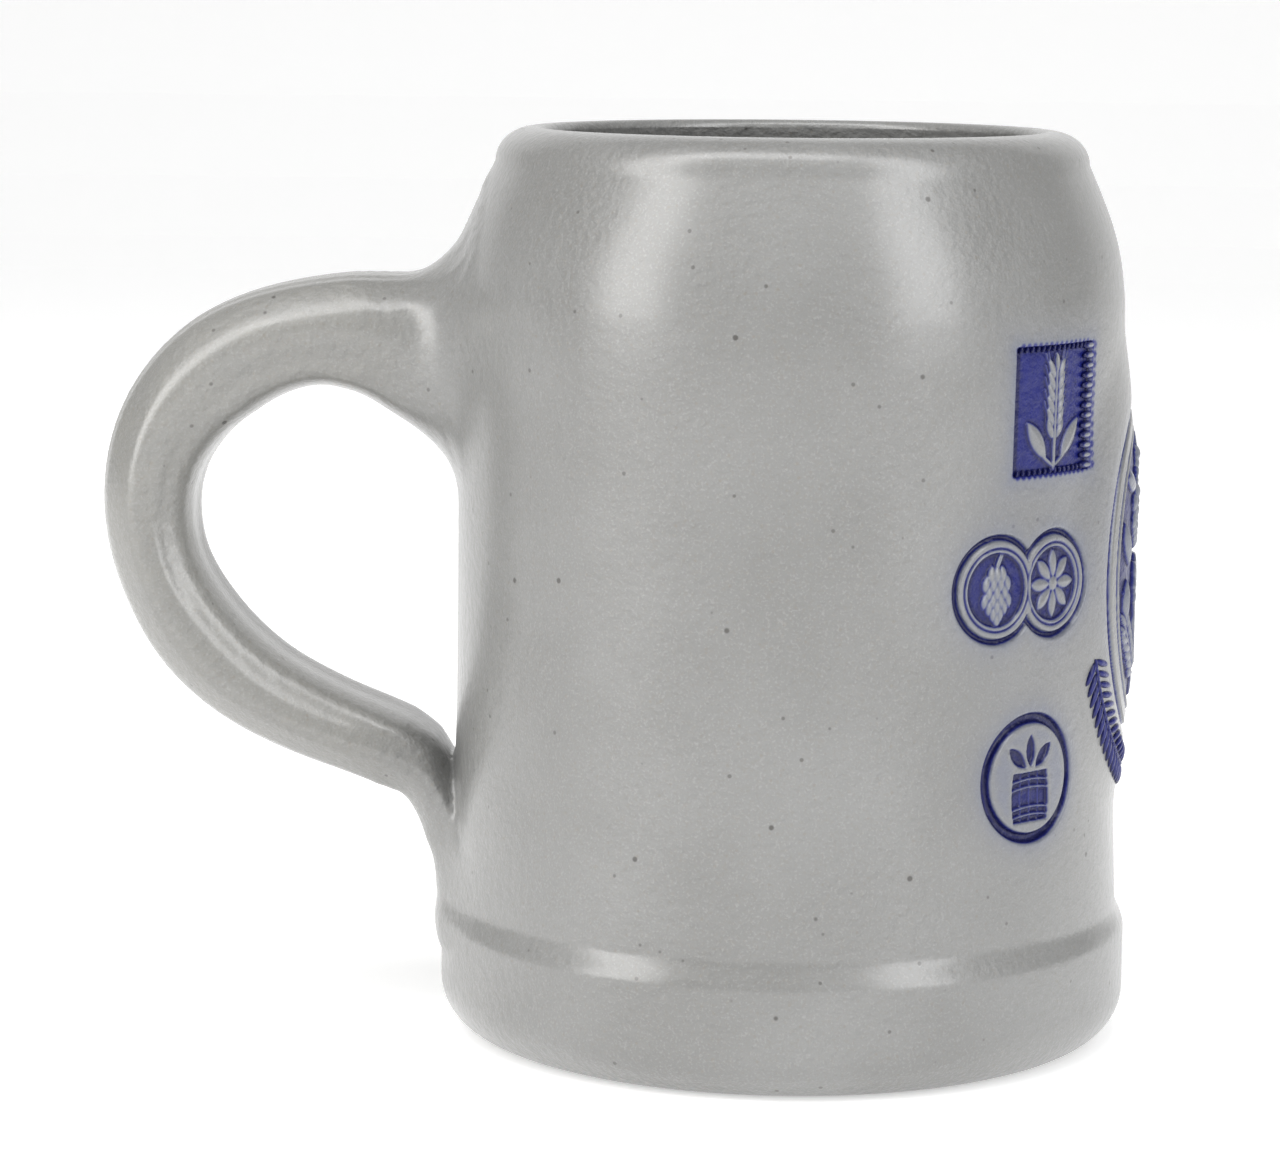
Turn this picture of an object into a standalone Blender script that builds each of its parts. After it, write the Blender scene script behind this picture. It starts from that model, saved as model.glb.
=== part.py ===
"""Half-litre salt-glazed stoneware beer mug: a turned body, a strap handle luted on with
slip at two places, and relief emblems pressed as separate pads and set into the wall.

Frame: origin at the centre of the foot, +Z up, handle towards -X, centre emblem at +X.
All dimensions are in millimetres in the constants and become metres in mm().
"""

import math

import bmesh
import bpy
from mathutils import Vector

# ---------------------------------------------------------------- driving dimensions, mm

HEIGHT = 125.6
FOOT_RADIUS = 48.0
FOOT_CORNER = 6.8
BAND_TOP = 15.0
BAND_STEP = 4.0
# Outer wall above the foot band: (height, radius).
OUTER_WALL = (
    (19.0, 46.8),
    (32.0, 46.3),
    (50.0, 46.0),
    (78.0, 45.8),
    (96.0, 46.1),
    (103.0, 46.0),
    (107.5, 45.5),
    (111.0, 44.8),
    (114.5, 43.5),
    (118.0, 42.0),
    (121.0, 40.8),
)
# The lip: radius of its crown, how far its outer shoulder reaches out and down from
# there, and the radius of its inner edge.
LIP_CROWN = 35.5
LIP_SHOULDER = (5.3, 4.6)
LIP_INNER = 1.2
WALL = 5.0
FLOOR = 6.5
FLOOR_CORNER = 8.0
LATHE_STEPS = 80

GAP = 0.3
PAD_SINK = 1.2
SLIP = 0.5

HANDLE_WIDTH = 22.0
HANDLE_SQUARENESS = 2.9
HANDLE_SIDES = 28
HANDLE_STEPS_PER_STATION = 3
# Stations along the strap, each in the handle's own plane: outer edge (reach, height),
# inner edge (reach, height), width of the strap there.
HANDLE_STATIONS = (
    ((40.0, 109.5), (40.0, 75.5), 30.0),
    ((46.0, 108.0), (46.3, 78.2), 27.0),
    ((51.0, 106.9), (52.0, 83.9), 23.0),
    ((58.5, 106.0), (58.8, 88.5), HANDLE_WIDTH),
    ((67.5, 104.5), (65.0, 89.7), HANDLE_WIDTH),
    ((77.6, 101.4), (71.4, 87.5), HANDLE_WIDTH),
    ((86.7, 95.5), (77.3, 82.8), HANDLE_WIDTH),
    ((93.0, 86.6), (81.1, 77.2), HANDLE_WIDTH),
    ((95.6, 75.8), (82.2, 71.1), HANDLE_WIDTH),
    ((94.4, 64.4), (80.7, 64.1), HANDLE_WIDTH),
    ((89.2, 52.4), (76.1, 57.7), HANDLE_WIDTH),
    ((80.6, 43.7), (69.6, 51.9), HANDLE_WIDTH),
    ((70.6, 38.4), (61.7, 47.6), HANDLE_WIDTH),
    ((61.0, 35.0), (54.6, 44.5), HANDLE_WIDTH),
    ((54.6, 32.8), (49.4, 41.2), HANDLE_WIDTH),
    ((51.5, 30.0), (46.2, 36.2), 22.5),
    ((50.1, 26.5), (44.0, 30.0), 24.5),
    ((49.1, 23.0), (43.0, 24.5), 26.5),
    ((48.3, 19.6), (42.5, 20.0), 28.0),
)

# Emblems: angle round the wall from +X in degrees, height of the centre.
# The near column has negative angles; the far column mirrors it.
STAMP_AT = (-39.6, 90.2)
TWIN_AT = (-45.9, 67.0)
OVAL_AT = (-44.4, 41.3)
CENTRE_AT = (0.0, 65.5)

STAMP_SIDE = 17.4
TWIN_RADIUS = 7.0
TWIN_SPACING = 10.8
OVAL_SIZE = (9.0, 8.8)
CENTRE_SIZE = (18.2, 22.9)
CENTRE_PROUD = 2.9
GARLAND_OFFSETS = (2.2, 7.2)
GARLAND_SWEEP = (203.0, 337.0)
GARLAND_PROUD = 1.0
PAD_PROUD = 0.25
OUTLINE_STEPS = 40

STONEWARE = (0.46, 0.46, 0.43, 1.0)
COBALT = (0.03, 0.05, 0.32, 1.0)


def mm(value):
    return value * 0.001


# ---------------------------------------------------------------- scene and materials


def clear_scene():
    for obj in list(bpy.data.objects):
        bpy.data.objects.remove(obj)


def glaze(name, colour, roughness):
    material = bpy.data.materials.new(name)
    material.use_nodes = True
    shader = material.node_tree.nodes["Principled BSDF"]
    shader.inputs["Base Color"].default_value = colour
    shader.inputs["Roughness"].default_value = roughness
    shader.inputs["Metallic"].default_value = 0.0
    return material


def finish_bmesh(bm, name, material=None):
    mesh = bpy.data.meshes.new(name)
    bm.to_mesh(mesh)
    bm.free()
    obj = bpy.data.objects.new(name, mesh)
    bpy.context.scene.collection.objects.link(obj)
    if material:
        mesh.materials.append(material)
    return obj


def make_helper(obj):
    obj.hide_render = True
    obj.display_type = "WIRE"
    return obj


def boolean(obj, other, operation):
    modifier = obj.modifiers.new(operation.title() + " " + other.name, "BOOLEAN")
    modifier.operation = operation
    modifier.object = other
    modifier.solver = "EXACT"


def shade(obj):
    obj.data.shade_smooth()
    obj.data.set_sharp_from_angle(angle=math.radians(40))


# ---------------------------------------------------------------- the turned body


def smooth_curve(points, steps):
    """Catmull-Rom curve through 2-D points, with its ends kept."""
    padded = [points[0], *points, points[-1]]
    curve = []
    for i in range(1, len(padded) - 2):
        p0, p1, p2, p3 = (Vector(p) for p in padded[i - 1 : i + 3])
        for k in range(steps):
            t = k / steps
            curve.append(
                0.5
                * (
                    2 * p1
                    + (p2 - p0) * t
                    + (2 * p0 - 5 * p1 + 4 * p2 - p3) * t**2
                    + (3 * p1 - 3 * p2 + p3 - p0) * t**3
                )
            )
    return curve + [Vector(points[-1])]


def arc(centre, radius, start, end, steps):
    """Points of an arc in the (radius, height) plane, angles in degrees."""
    angles = [math.radians(start + (end - start) * k / steps) for k in range(steps + 1)]
    return [
        (centre[0] + radius * math.cos(a), centre[1] + radius * math.sin(a))
        for a in angles
    ]


def outer_radius(height):
    """Radius of the outer wall between the foot band and the rim."""
    if height <= OUTER_WALL[0][0]:
        return OUTER_WALL[0][1]
    for (z0, r0), (z1, r1) in zip(OUTER_WALL, OUTER_WALL[1:]):
        if height <= z1:
            return r0 + (r1 - r0) * (height - z0) / (z1 - z0)
    return OUTER_WALL[-1][1]


def body_profile():
    """Half section of the body as (radius, height), from the floor's centre up the inside,
    over the lip, down the outside and in under the foot."""
    inside = [(outer_radius(z) - WALL, z) for z in (32.0, 50.0, 78.0, 96.0, 103.0)]
    neck = [
        (41.0 - 0.6, 107.5),
        (39.9, 111.0),
        (38.8, 114.5),
        (37.5, 118.0),
        (36.1, 121.0),
    ]
    inner_corner = arc(
        (inside[0][0] - FLOOR_CORNER, FLOOR + FLOOR_CORNER), FLOOR_CORNER, -90, 0, 6
    )
    reach, drop = LIP_SHOULDER
    lip = arc((LIP_CROWN, HEIGHT - LIP_INNER), LIP_INNER, 180, 90, 4)
    lip += [
        (
            LIP_CROWN + reach * math.sin(math.radians(a)),
            HEIGHT - drop * (1 - math.cos(math.radians(a))),
        )
        for a in (15, 30, 45, 60, 75)
    ]
    outside = [(r, z) for z, r in reversed(OUTER_WALL)]
    step = [
        (
            FOOT_RADIUS
            + (OUTER_WALL[0][1] - FOOT_RADIUS) * (1 + math.cos(math.pi * t)) / 2,
            BAND_TOP + BAND_STEP * (1 - t),
        )
        for t in (0.25, 0.5, 0.75, 1.0)
    ]
    foot = arc((FOOT_RADIUS - FOOT_CORNER, FOOT_CORNER), FOOT_CORNER, 0, -90, 6)
    return (
        [(0.0, FLOOR)] + inner_corner + inside + neck + lip + outside + step + foot
        + [(0.0, 0.0)]
    )


def lathe(name, profile, material=None):
    """A closed turned solid from a half section listed inside first, outside last."""
    bm = bmesh.new()
    verts = [bm.verts.new((mm(r), 0.0, mm(z))) for r, z in profile]
    for a, b in zip(verts, verts[1:]):
        bm.edges.new((a, b))
    if profile[0][0] > 0:
        bm.edges.new((verts[-1], verts[0]))
    obj = finish_bmesh(bm, name, material)
    screw = obj.modifiers.new("Turn", "SCREW")
    screw.axis = "Z"
    screw.angle = math.tau
    screw.steps = LATHE_STEPS
    screw.render_steps = LATHE_STEPS
    screw.use_merge_vertices = True
    screw.merge_threshold = 0.00001
    screw.use_smooth_shade = True
    return obj


def wall_ring(name, inner_offset, outer_offset, low, high):
    """A turned ring that follows the outer wall between two offsets from it."""
    levels = [low] + [z for z, _ in OUTER_WALL if low < z < high] + [high]
    inner = [(outer_radius(z) + inner_offset, z) for z in levels]
    outer = [(outer_radius(z) + outer_offset, z) for z in reversed(levels)]
    return make_helper(lathe(name, inner + outer))


def wall_core(name, offset, low, high):
    """A turned plug that fills everything inside the outer wall plus an offset."""
    levels = [low] + [z for z, _ in OUTER_WALL if low < z < high] + [high]
    outer = [(outer_radius(z) + offset, z) for z in reversed(levels)]
    return make_helper(lathe(name, [(0.0, high)] + outer + [(0.0, low)]))


# ---------------------------------------------------------------- the handle


def handle_sections():
    """Rings of the strap, from the upper root to the lower tail."""
    outer = smooth_curve([s[0] for s in HANDLE_STATIONS], HANDLE_STEPS_PER_STATION)
    inner = smooth_curve([s[1] for s in HANDLE_STATIONS], HANDLE_STEPS_PER_STATION)
    widths = smooth_curve(
        [(s[2], 0.0) for s in HANDLE_STATIONS], HANDLE_STEPS_PER_STATION
    )
    power = 2.0 / HANDLE_SQUARENESS
    rings = []
    for out, inn, width in zip(outer, inner, widths):
        ring = []
        for k in range(HANDLE_SIDES):
            angle = math.tau * k / HANDLE_SIDES
            side = math.copysign(abs(math.cos(angle)) ** power, math.cos(angle))
            rise = math.copysign(abs(math.sin(angle)) ** power, math.sin(angle))
            reach, height = (out + inn) / 2 + (out - inn) / 2 * rise
            ring.append(Vector((-mm(reach), mm(side * width.x / 2), mm(height))))
        rings.append(ring)
    return rings


def strap(name, material=None):
    """The whole strap as one closed loft, with both ends inside the wall."""
    bm = bmesh.new()
    rings = [[bm.verts.new(p) for p in ring] for ring in handle_sections()]
    for low, high in zip(rings, rings[1:]):
        for k in range(HANDLE_SIDES):
            n = (k + 1) % HANDLE_SIDES
            bm.faces.new((low[k], low[n], high[n], high[k]))
    bm.faces.new(reversed(rings[0]))
    bm.faces.new(rings[-1])
    bmesh.ops.recalc_face_normals(bm, faces=bm.faces)
    return finish_bmesh(bm, name, material)


def block(name, low, high):
    """A box between two corners, used to keep one end of the strap."""
    bm = bmesh.new()
    bmesh.ops.create_cube(bm, size=1.0)
    size = Vector(high) - Vector(low)
    for v in bm.verts:
        v.co = Vector([mm(low[i] + size[i] * (v.co[i] + 0.5)) for i in range(3)])
    return make_helper(finish_bmesh(bm, name))


def build_handle(clay):
    handle = strap("handle", clay)
    boolean(handle, wall_core("handle_seat", 2 * GAP + SLIP, 10.0, 121.0), "DIFFERENCE")
    shade(handle)
    slip_ring = wall_ring("slip_ring", GAP, GAP + SLIP, 19.2, 118.0)
    halves = {
        "upper_slip_joint": ((-70.0, -30.0, 60.0), (0.0, 30.0, 120.0)),
        "lower_slip_joint": ((-70.0, -30.0, 10.0), (0.0, 30.0, 60.0)),
    }
    for name, (low, high) in halves.items():
        joint = strap(name, clay)
        boolean(joint, slip_ring, "INTERSECT")
        boolean(joint, block(name + "_half", low, high), "INTERSECT")
    return handle


# ---------------------------------------------------------------- the emblem pads


def ellipse_outline(size, grow):
    angles = [math.tau * (k + 0.5) / OUTLINE_STEPS for k in range(OUTLINE_STEPS)]
    return [
        ((size[0] + grow) * math.cos(a), (size[1] + grow) * math.sin(a))
        for a in angles
    ]


def square_outline(side, grow):
    h = side / 2 + grow
    return [(-h, -h), (h, -h), (h, h), (-h, h)]


def twin_outline(grow):
    """Two overlapping circles as one outline."""
    radius = TWIN_RADIUS + grow
    half = TWIN_SPACING / 2
    waist = math.acos(half / radius)
    span = math.tau - 2 * waist
    steps = OUTLINE_STEPS // 2
    right = [-math.pi + waist + span * k / steps for k in range(steps + 1)]
    points = [(half + radius * math.cos(a), radius * math.sin(a)) for a in right]
    return points + [(-x, -y) for x, y in points[1:-1]]


def polygon_outline(sides, radius, grow):
    r = radius + grow / math.cos(math.pi / sides)
    angles = [math.tau * (k + 0.5) / sides for k in range(sides)]
    return [(r * math.cos(a), r * math.sin(a)) for a in angles]


def shield_outline(side, grow):
    """A flat-topped shield with a rounded point."""
    h = side / 2 + grow
    steps = OUTLINE_STEPS // 4
    angles = [math.pi / 2 * k / steps for k in range(steps + 1)]
    left = [(-h * math.cos(a), -h * math.sin(a)) for a in angles]
    right = [(h * math.sin(a), -h * math.cos(a)) for a in angles[1:]]
    return left + right + [(h, h), (-h, h)]


def garland_outline(grow):
    """The crescent under the centre emblem, as two offsets of its ellipse."""
    start, end = (math.radians(a) for a in GARLAND_SWEEP)
    near, far = GARLAND_OFFSETS
    near, far = near - grow, far + grow
    extra = grow / (CENTRE_SIZE[0] + far)
    start, end = start - extra, end + extra
    steps = OUTLINE_STEPS - 1
    angles = [start + (end - start) * k / steps for k in range(steps + 1)]
    far_edge = [
        ((CENTRE_SIZE[0] + far) * math.cos(a), (CENTRE_SIZE[1] + far) * math.sin(a))
        for a in angles
    ]
    near_edge = [
        ((CENTRE_SIZE[0] + near) * math.cos(a), (CENTRE_SIZE[1] + near) * math.sin(a))
        for a in reversed(angles)
    ]
    return far_edge + near_edge


def prism(name, outline, place, low, high, material=None):
    """A prism over an outline, standing out of the wall at an angle and height.
    low and high are its ends, measured from the mug's axis."""
    angle, height = place
    turn = math.radians(angle)
    out = Vector((math.cos(turn), math.sin(turn), 0.0))
    along = Vector((-math.sin(turn), math.cos(turn), 0.0))
    up = Vector((0.0, 0.0, 1.0))
    bm = bmesh.new()
    rings = []
    for reach in (low, high):
        rings.append(
            [
                bm.verts.new(out * mm(reach) + along * mm(x) + up * mm(height + y))
                for x, y in outline
            ]
        )
    count = len(outline)
    for k in range(count):
        n = (k + 1) % count
        bm.faces.new((rings[0][k], rings[0][n], rings[1][n], rings[1][k]))
    bm.faces.new(reversed(rings[0]))
    bm.faces.new(rings[1])
    bmesh.ops.recalc_face_normals(bm, faces=bm.faces)
    return finish_bmesh(bm, name, material)


def set_pad(body, name, outline, place, proud, material):
    """Cuts a pocket for one emblem and sets its pad in it with a gap all round."""
    pocket_core = bpy.data.objects["pocket_floor"]
    cutter = make_helper(prism(name + "_pocket", outline(GAP), place, 30.0, 55.0))
    boolean(cutter, pocket_core, "DIFFERENCE")
    boolean(body, cutter, "DIFFERENCE")
    pad = prism(name, outline(0.0), place, 30.0, 55.0, material)
    boolean(pad, wall_ring(name + "_shell", -PAD_SINK, proud, 22.0, 105.0), "INTERSECT")
    return pad


def build_emblems(body, clay, blue):
    wall_core("pocket_floor", -PAD_SINK - GAP, 19.5, 110.0)
    far = {"shield": STAMP_AT, "roundel": TWIN_AT, "octagon": OVAL_AT}
    far = {name: (-angle, height) for name, (angle, height) in far.items()}
    pads = (
        ("emblem_stamp", lambda g: square_outline(STAMP_SIDE, g), STAMP_AT, PAD_PROUD),
        ("emblem_twin", twin_outline, TWIN_AT, PAD_PROUD),
        ("emblem_oval", lambda g: ellipse_outline(OVAL_SIZE, g), OVAL_AT, PAD_PROUD),
        (
            "emblem_centre",
            lambda g: ellipse_outline(CENTRE_SIZE, g),
            CENTRE_AT,
            CENTRE_PROUD,
        ),
        ("emblem_garland", garland_outline, CENTRE_AT, GARLAND_PROUD),
        (
            "emblem_shield",
            lambda g: shield_outline(STAMP_SIDE, g),
            far["shield"],
            PAD_PROUD,
        ),
        (
            "emblem_roundel",
            lambda g: ellipse_outline((8.6, 8.6), g),
            far["roundel"],
            PAD_PROUD,
        ),
        (
            "emblem_octagon",
            lambda g: polygon_outline(8, 9.4, g),
            far["octagon"],
            PAD_PROUD,
        ),
    )
    for name, outline, place, proud in pads:
        set_pad(body, name, outline, place, proud, blue)


def main():
    clear_scene()
    clay = glaze("salt_glazed_stoneware", STONEWARE, 0.45)
    blue = glaze("cobalt_relief", COBALT, 0.3)
    body = lathe("body", body_profile(), clay)
    build_handle(clay)
    build_emblems(body, clay, blue)


main()
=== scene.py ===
import math

import bmesh
import bpy
import numpy as np
from mathutils import Matrix, Vector, kdtree


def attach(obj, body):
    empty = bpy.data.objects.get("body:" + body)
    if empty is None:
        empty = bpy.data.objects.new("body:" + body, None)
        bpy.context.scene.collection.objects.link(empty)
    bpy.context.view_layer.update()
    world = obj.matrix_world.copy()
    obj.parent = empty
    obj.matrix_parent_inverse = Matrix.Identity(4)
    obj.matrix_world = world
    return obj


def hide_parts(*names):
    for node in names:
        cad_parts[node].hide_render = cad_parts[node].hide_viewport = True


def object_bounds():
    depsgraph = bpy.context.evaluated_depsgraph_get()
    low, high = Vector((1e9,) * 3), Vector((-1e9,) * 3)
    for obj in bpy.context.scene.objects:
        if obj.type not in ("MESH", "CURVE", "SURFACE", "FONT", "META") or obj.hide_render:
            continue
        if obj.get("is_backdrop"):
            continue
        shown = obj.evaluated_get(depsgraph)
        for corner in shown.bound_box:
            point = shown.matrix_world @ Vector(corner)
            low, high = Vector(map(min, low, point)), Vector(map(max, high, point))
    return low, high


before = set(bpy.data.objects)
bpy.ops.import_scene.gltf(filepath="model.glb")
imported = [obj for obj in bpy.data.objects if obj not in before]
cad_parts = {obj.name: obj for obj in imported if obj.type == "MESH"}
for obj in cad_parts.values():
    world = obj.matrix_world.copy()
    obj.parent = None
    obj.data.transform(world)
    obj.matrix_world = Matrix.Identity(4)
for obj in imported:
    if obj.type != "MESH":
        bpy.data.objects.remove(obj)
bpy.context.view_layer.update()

# ------------------------------------------------------------------ the turned body
# The mug's body: grey stoneware turned to a straight-sided pot with a foot band and a
# drawn-in neck. The wall is pressed in where each emblem sits and swells round the
# centre emblem, and salt thrown in the kiln glazes it.

MM = 0.001
HEIGHT = 125.6
LIP_CROWN = 35.5
LIP_SHOULDER = (5.35, 4.6)
LIP_INNER = 1.2
NECK_THICKNESS = 4.7
FOOT_RADIUS = 48.0
FOOT_CORNER = 6.8
BAND_TOP = 15.2
STEP_TOP = 19.2
WALL_THICKNESS = 5.0
PLAIN_WALL_FROM = 34.0
FLOOR_HEIGHT = 6.5
FLOOR_CORNER = 8.0
SEGMENTS = 360
ROW_SPACING = 0.9
TURN_RADIUS = 46.0

# The outer wall's radius at these heights, from the foot band to the lip.
WALL_HEIGHTS = [19.2, 26, 34, 50, 78, 90, 97, 102, 106, 109.5, 113, 117, 121.5, 125]
WALL_RADII = [46.75, 46.5, 46.2, 45.9, 45.8, 46, 46.15, 46.1, 45.75, 45.15, 44.15, 42.6,
              40.65, 39.3]


def smooth_step(x):
    x = np.clip(x, 0.0, 1.0)
    return x * x * (3.0 - 2.0 * x)


def wall_slopes():
    """Slopes at the wall's measured heights for a cubic curve with no overshoot."""
    h = np.diff(WALL_HEIGHTS)
    d = np.diff(WALL_RADII) / h
    m = np.zeros(len(WALL_HEIGHTS))
    for i in range(1, len(d)):
        if d[i - 1] * d[i] > 0:
            w1, w2 = 2 * h[i] + h[i - 1], h[i] + 2 * h[i - 1]
            m[i] = (w1 + w2) / (w1 / d[i - 1] + w2 / d[i])
    m[0], m[-1] = d[0], d[-1]
    return m


WALL_SLOPES = wall_slopes()


def wall_radius(z):
    """Outer radius of the plain turned wall at a height, foot band included, in mm."""
    z = np.asarray(z, float)
    zs, rs = np.array(WALL_HEIGHTS), np.array(WALL_RADII)
    i = np.clip(np.searchsorted(zs, z) - 1, 0, len(zs) - 2)
    h = zs[i + 1] - zs[i]
    t = np.clip((z - zs[i]) / h, 0.0, 1.0)
    cubic = (
        rs[i] * (1 + 2 * t) * (1 - t) ** 2
        + rs[i + 1] * t * t * (3 - 2 * t)
        + h * WALL_SLOPES[i] * t * (1 - t) ** 2
        + h * WALL_SLOPES[i + 1] * t * t * (t - 1)
    )
    step = smooth_step((STEP_TOP - z) / (STEP_TOP - BAND_TOP))
    return cubic + (FOOT_RADIUS - WALL_RADII[0]) * step


def angle_gap(theta, centre):
    """Signed angle from a centre to theta, in degrees, within half a turn."""
    return (theta - centre + 180.0) % 360.0 - 180.0


def on_wall(theta, z, centre, height):
    """Place on the unrolled wall round an emblem's centre, in mm: along and up."""
    return np.radians(angle_gap(theta, centre)) * TURN_RADIUS, z - height


def ellipse_gap(u, v, a, b):
    """Roughly the distance outside an ellipse, in mm."""
    r = np.sqrt((u / a) ** 2 + (v / b) ** 2) + 1e-9
    slope = np.sqrt((u / a**2) ** 2 + (v / b**2) ** 2) / r + 1e-9
    return (r - 1.0) / slope


def box_gap(u, v, a, b, corner=0.0):
    x, y = np.abs(u) - a + corner, np.abs(v) - b + corner
    outside = np.hypot(np.maximum(x, 0.0), np.maximum(y, 0.0))
    return outside + np.minimum(np.maximum(x, y), 0.0) - corner


CENTRE_HALF = (18.2, 22.9)


def stamp_gap(u, v):
    return box_gap(u, v, 8.7, 8.7)


def twin_gap(u, v):
    left = np.hypot(u + 5.4, v) - 7.0
    right = np.hypot(u - 5.4, v) - 7.0
    return np.minimum(left, right)


def oval_gap(u, v):
    return ellipse_gap(u, v, 9.0, 8.8)


def centre_gap(u, v):
    return ellipse_gap(u, v, CENTRE_HALF[0], CENTRE_HALF[1])


def shield_gap(u, v):
    lower = np.where(v < 0, np.hypot(u, v) - 8.7, np.abs(u) - 8.7)
    return np.maximum(lower, v - 8.7)


def roundel_gap(u, v):
    return np.hypot(u, v) - 8.6


def octagon_gap(u, v):
    sides = [
        u * math.cos(math.radians(a)) + v * math.sin(math.radians(a))
        for a in range(0, 360, 45)
    ]
    return np.max(sides, axis=0) - 8.7


EMBLEMS = {
    "emblem_stamp": (-39.6, 90.2, stamp_gap),
    "emblem_twin": (-45.9, 67.0, twin_gap),
    "emblem_oval": (-44.4, 41.3, oval_gap),
    "emblem_centre": (0.0, 65.5, centre_gap),
    "emblem_shield": (39.6, 90.2, shield_gap),
    "emblem_roundel": (45.9, 67.0, roundel_gap),
    "emblem_octagon": (44.4, 41.3, octagon_gap),
}
POCKET_DEPTH = 1.7
POCKET_EDGE = (1.9, 0.7)
BOSS_EDGE_RISE = 1.35
BOSS_CROWN_RISE = 1.1
BOSS_FADE = 12.0
BOSS_CROWN = 8.0


def boss(theta, z):
    """How far the wall swells out round the centre emblem, in mm."""
    centre, height, gap = EMBLEMS["emblem_centre"]
    u, v = on_wall(theta, z, centre, height)
    rise = BOSS_EDGE_RISE * smooth_step(1.0 - np.maximum(gap(u, v), 0.0) / BOSS_FADE)
    rise = rise + BOSS_CROWN_RISE * smooth_step((1.0 - gap(u, v)) / (BOSS_CROWN + 1.0))
    keep = smooth_step((z - 24.0) / 14.0) * smooth_step((109.0 - z) / 14.0)
    return rise * keep


# Strength and reach (mm) of the blue close round an emblem and further out.
HAZE_CLOSE = (0.2, 1.5)
HAZE_WIDE = (0.07, 7.0)


def haze(theta, z):
    """Faint cobalt that ran into the glaze round the emblems, 0 to 1."""
    total = np.zeros(np.broadcast(theta, z).shape)
    for centre, height, gap in EMBLEMS.values():
        u, v = on_wall(theta, z, centre, height)
        far = np.maximum(gap(u, v), 0.0)
        near = np.abs(angle_gap(theta, centre)) < 80
        spread = HAZE_CLOSE[0] * np.exp(-far / HAZE_CLOSE[1])
        spread = spread + HAZE_WIDE[0] * np.exp(-((far / HAZE_WIDE[1]) ** 1.6))
        total = total + np.where(near, spread, 0.0) * (1 - total)
    return total


def body_profile():
    """Half section from the floor's centre up the inside, over the lip, down the outside
    and in under the foot, as (radius, height) rows in mm."""
    rows = [(0.0, FLOOR_HEIGHT), (12.0, FLOOR_HEIGHT), (24.0, FLOOR_HEIGHT)]

    def inner(z):
        return float(wall_radius(max(z, PLAIN_WALL_FROM))) - WALL_THICKNESS

    turn = inner(0.0) - FLOOR_CORNER
    for k in range(9):
        a = math.radians(-90 + 90 * k / 8)
        rows.append(
            (turn + FLOOR_CORNER * math.cos(a),
             FLOOR_HEIGHT + FLOOR_CORNER * (1 + math.sin(a)))
        )
    rows += [(inner(z), z) for z in np.arange(18.0, 104.0, 3.0)]
    reach, drop = LIP_SHOULDER
    neck = np.linspace(104.0, HEIGHT - drop, 16)
    wall = np.linspace(WALL_THICKNESS, NECK_THICKNESS, 16)
    rows += [(float(wall_radius(z)) - w, z) for z, w in zip(neck, wall)]
    for k in range(9):
        a = math.radians(180 - 90 * k / 8)
        rows.append(
            (LIP_CROWN + LIP_INNER * math.cos(a),
             HEIGHT - LIP_INNER * (1 - math.sin(a)))
        )
    for k in range(1, 13):
        a = math.radians(90 * k / 12)
        rows.append(
            (LIP_CROWN + reach * math.sin(a), HEIGHT - drop * (1 - math.cos(a)))
        )
    down = np.arange(HEIGHT - drop - ROW_SPACING, STEP_TOP, -ROW_SPACING)
    rows += [(float(wall_radius(z)), z) for z in down]
    rows += [(float(wall_radius(z)), z) for z in np.arange(STEP_TOP, BAND_TOP, -0.4)]
    rows += [(FOOT_RADIUS, z) for z in np.arange(BAND_TOP, FOOT_CORNER, -1.2)]
    for k in range(12):
        a = math.radians(-90 * k / 11)
        rows.append(
            (FOOT_RADIUS - FOOT_CORNER * (1 - math.cos(a)),
             FOOT_CORNER * (1 + math.sin(a)))
        )
    rows += [(30.0, 0.0), (16.0, 0.0), (0.0, 0.0)]
    return rows


class Tree:
    """A short way to build node trees: each call makes one node."""

    def __init__(self, nodes, links):
        self.nodes, self.links = nodes, links

    def node(self, kind, settings=(), inputs=(), output=0):
        made = self.nodes.new(kind)
        for key, value in dict(settings).items():
            setattr(made, key, value)
        for key, value in dict(inputs).items():
            if isinstance(value, Wire):
                self.links.new(value.socket, made.inputs[key])
            elif isinstance(value, bpy.types.NodeSocket):
                self.links.new(value, made.inputs[key])
            else:
                made.inputs[key].default_value = value
        return Wire(self, made.outputs[output])


class Wire:
    """A value socket that takes part in Python sums."""

    def __init__(self, tree, socket):
        self.tree, self.socket = tree, socket

    def _math(self, operation, *values):
        inputs = {i: v for i, v in enumerate(values)}
        return self.tree.node("ShaderNodeMath", {"operation": operation}, inputs)

    def __add__(self, other):
        return self._math("ADD", self, other)

    def __radd__(self, other):
        return self._math("ADD", other, self)

    def __sub__(self, other):
        return self._math("SUBTRACT", self, other)

    def __rsub__(self, other):
        return self._math("SUBTRACT", other, self)

    def __mul__(self, other):
        return self._math("MULTIPLY", self, other)

    def __rmul__(self, other):
        return self._math("MULTIPLY", other, self)

    def cos(self):
        return self._math("COSINE", self)

    def sin(self):
        return self._math("SINE", self)

    def rounded(self):
        return self._math("ROUND", self)

    def step(self, low, high):
        """Smooth 0 to 1 between two values."""
        return self.tree.node(
            "ShaderNodeMapRange",
            {"interpolation_type": "SMOOTHSTEP", "clamp": True},
            {"Value": self, "From Min": low, "From Max": high},
        )


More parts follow.
